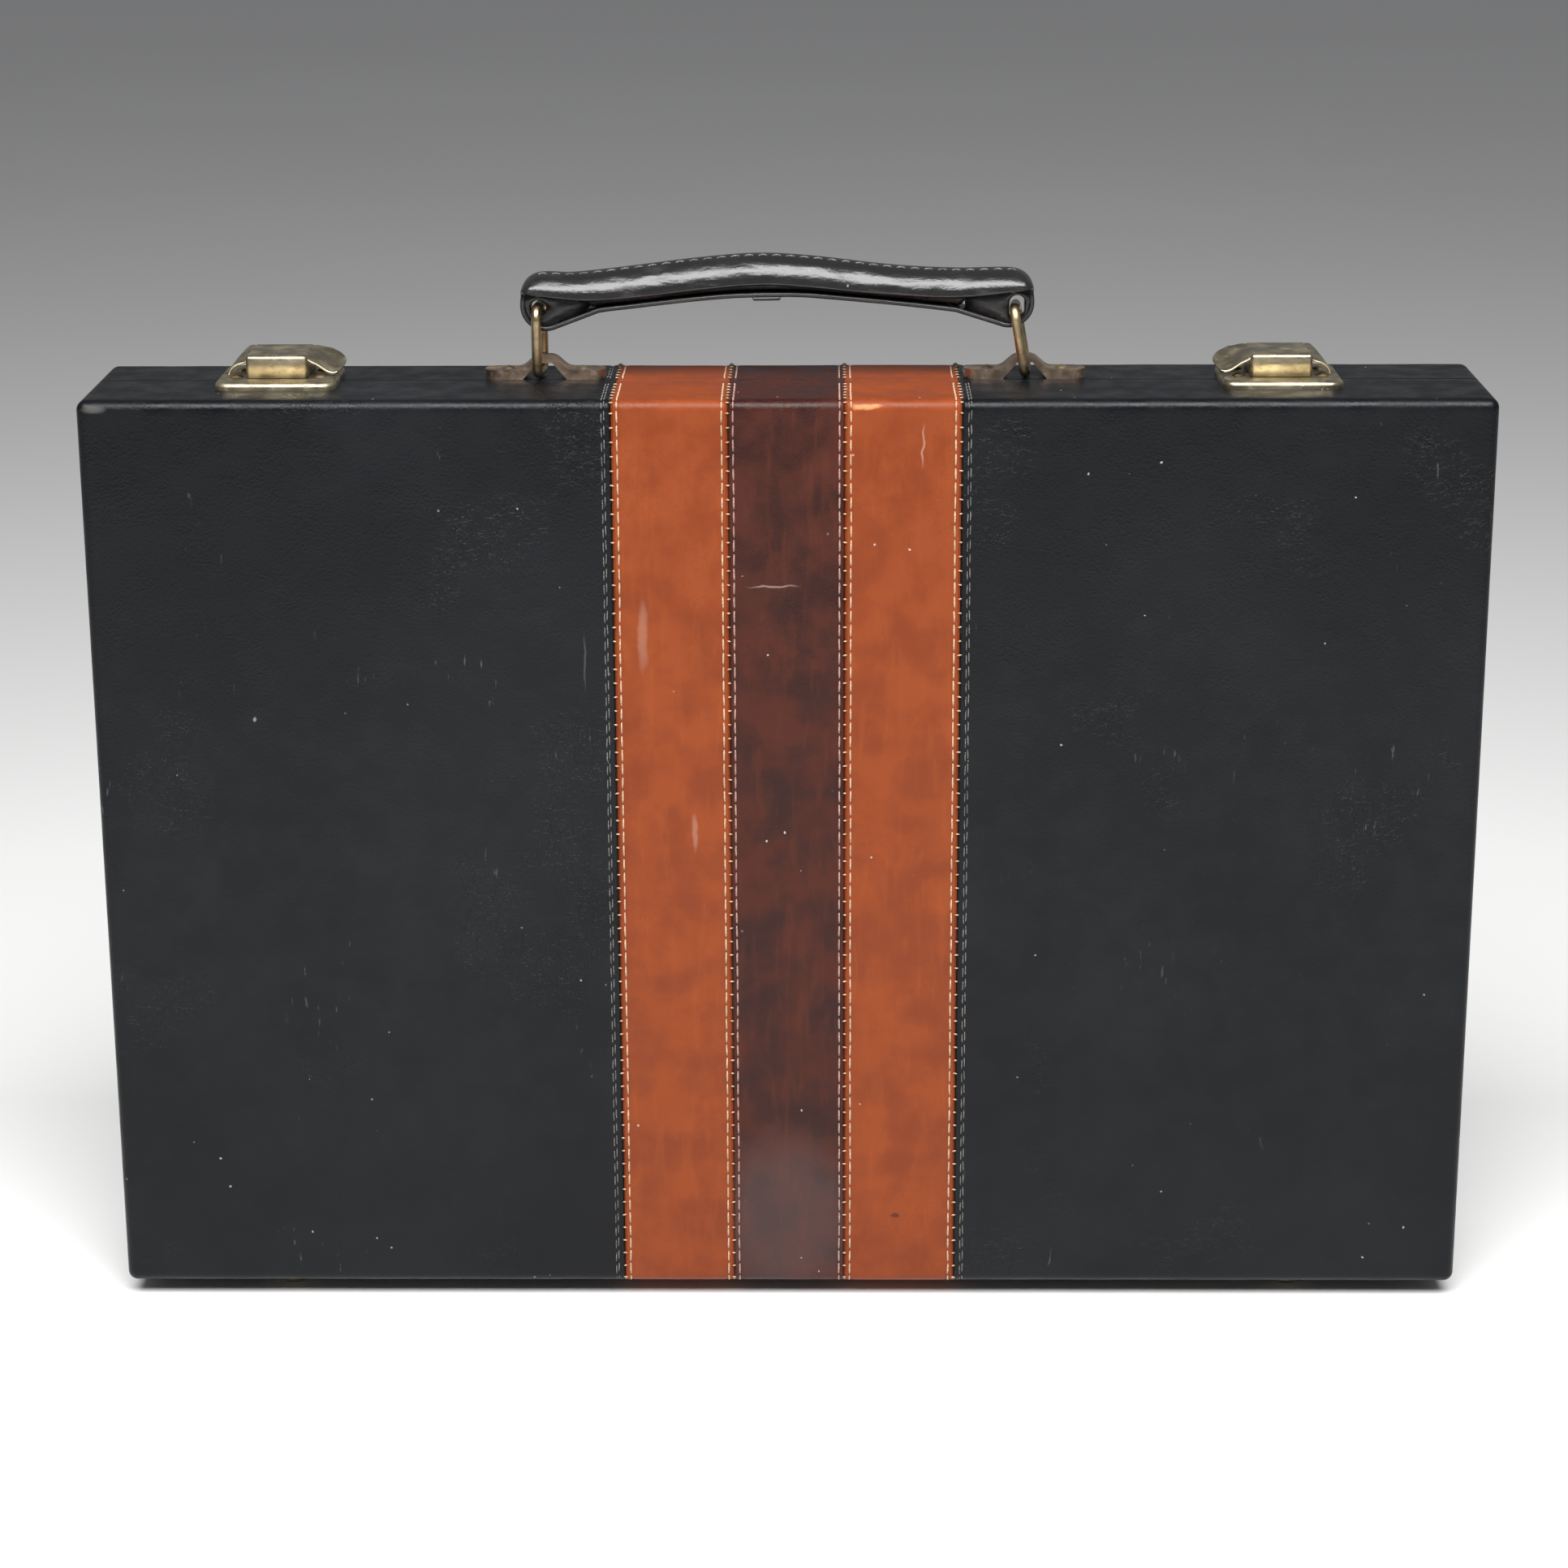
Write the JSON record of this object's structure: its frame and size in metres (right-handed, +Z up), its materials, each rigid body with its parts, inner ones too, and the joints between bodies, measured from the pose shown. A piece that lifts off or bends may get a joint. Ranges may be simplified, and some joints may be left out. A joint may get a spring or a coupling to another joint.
{
  "type": "poker chip case",
  "caption": "Striped leatherette attache case for poker chips: hinged lid and base shells, snap hasps, ring-hung handle, channelled chip trays and card wells.",
  "frame": {"origin": "on the ground plane, under the middle of the case", "axes": "+Z up out of the handle edge, +X to the right along the case's width seen from the lid, +Y from the lid through to the base's back face"},
  "size_m": [0.445, 0.063, 0.3456],
  "materials": {
    "black_leatherette": "black embossed leatherette, satin, dusty and lightly scuffed",
    "orange_leather": "tan-orange leather patchwork band, mottled, satin",
    "brown_leather": "dark brown leather patchwork band, mottled, satin",
    "felt": "dark green felt lining",
    "board": "bare poplar boards and hardboard panels",
    "flocked_tray": "moulded tray with green flocking",
    "pad": "felt-covered foam pad",
    "feet": "pressed metal studs",
    "hinge_steel": "brassed steel butt hinge",
    "spring_steel": "spring steel",
    "handle_leather": "glossy black leather over a padded core",
    "strap_leather": "black leather strap, dull cut edges",
    "ring_brass": "worn brass wire",
    "bracket_brass": "antique brassed steel",
    "latch_brass": "antique brassed steel, brushed and lightly pitted",
    "rivets": "domed brassed rivets"
  },
  "bodies": {
    "base": {"base_bottom_board": "board", "base_brown_band": "brown_leather", "base_cover_left": "black_leatherette", "base_cover_right": "black_leatherette", "base_feet": "feet", "base_hinge_rivets": "rivets", "base_left_board": "board", "base_lining": "felt", "base_orange_band_left": "orange_leather", "base_orange_band_right": "orange_leather", "base_panel": "board", "base_right_board": "board", "base_top_board": "board", "bracket_left": "bracket_brass", "bracket_right": "bracket_brass", "bracket_rivets": "rivets", "card_tray": "flocked_tray", "chip_tray_left": "flocked_tray", "chip_tray_right": "flocked_tray", "hinge_left_base_leaf": "hinge_steel", "hinge_left_pin": "hinge_steel", "hinge_right_base_leaf": "hinge_steel", "hinge_right_pin": "hinge_steel", "latch_left_pin": "latch_brass", "latch_left_plate": "latch_brass", "latch_left_spring": "spring_steel", "latch_right_pin": "latch_brass", "latch_right_plate": "latch_brass", "latch_right_spring": "spring_steel", "latch_rivets": "rivets"},
    "lid": {"hinge_left_lid_leaf": "hinge_steel", "hinge_right_lid_leaf": "hinge_steel", "keeper_rivets": "rivets", "latch_left_keeper": "latch_brass", "latch_right_keeper": "latch_brass", "lid_bottom_board": "board", "lid_brown_band": "brown_leather", "lid_cover_left": "black_leatherette", "lid_cover_right": "black_leatherette", "lid_feet": "feet", "lid_hinge_rivets": "rivets", "lid_left_board": "board", "lid_lining": "felt", "lid_orange_band_left": "orange_leather", "lid_orange_band_right": "orange_leather", "lid_pad": "pad", "lid_panel": "board", "lid_right_board": "board", "lid_top_board": "board"},
    "hasp_left": {"latch_left_hasp": "latch_brass"},
    "hasp_right": {"latch_right_hasp": "latch_brass"},
    "ring_left": {"ring_left": "ring_brass"},
    "ring_right": {"ring_right": "ring_brass"},
    "handle": {"handle_grip": "handle_leather", "handle_core": "spring_steel", "handle_strap": "strap_leather"}
  },
  "joints": [
    {"name": "lid_hinge", "type": "hinge", "parent": "base", "child": "lid", "pos_m": [0, 0.003, 0.00255], "axis": [1, 0, 0], "range_deg": [0, 180]},
    {"name": "hasp_left_hinge", "type": "hinge", "parent": "base", "child": "hasp_left", "pos_m": [-0.1625, 0.0132, 0.311], "axis": [-1, 0, 0], "range_deg": [0, 105]},
    {"name": "hasp_right_hinge", "type": "hinge", "parent": "base", "child": "hasp_right", "pos_m": [0.1571, 0.0132, 0.311], "axis": [-1, 0, 0], "range_deg": [0, 105]},
    {"name": "ring_left_sway", "type": "hinge", "parent": "base", "child": "ring_left", "pos_m": [-0.0795, 0.0085, 0.3074], "axis": [0.0872, 0.9962, 0], "range_deg": [-25, 25]},
    {"name": "ring_right_sway", "type": "hinge", "parent": "base", "child": "ring_right", "pos_m": [0.0766, 0.0085, 0.3074], "axis": [0.0872, 0.9962, 0], "range_deg": [-25, 25]},
    {"name": "handle_level", "type": "hinge", "parent": "ring_left", "child": "handle", "pos_m": [-0.0795, 0.0085, 0.3284], "axis": [0.0872, 0.9962, 0], "range_deg": [-25, 25]}
  ],
  "couplings": [
    {"joint": "ring_right_sway", "follows": "ring_left_sway", "ratio": 1},
    {"joint": "handle_level", "follows": "ring_left_sway", "ratio": -1}
  ]
}
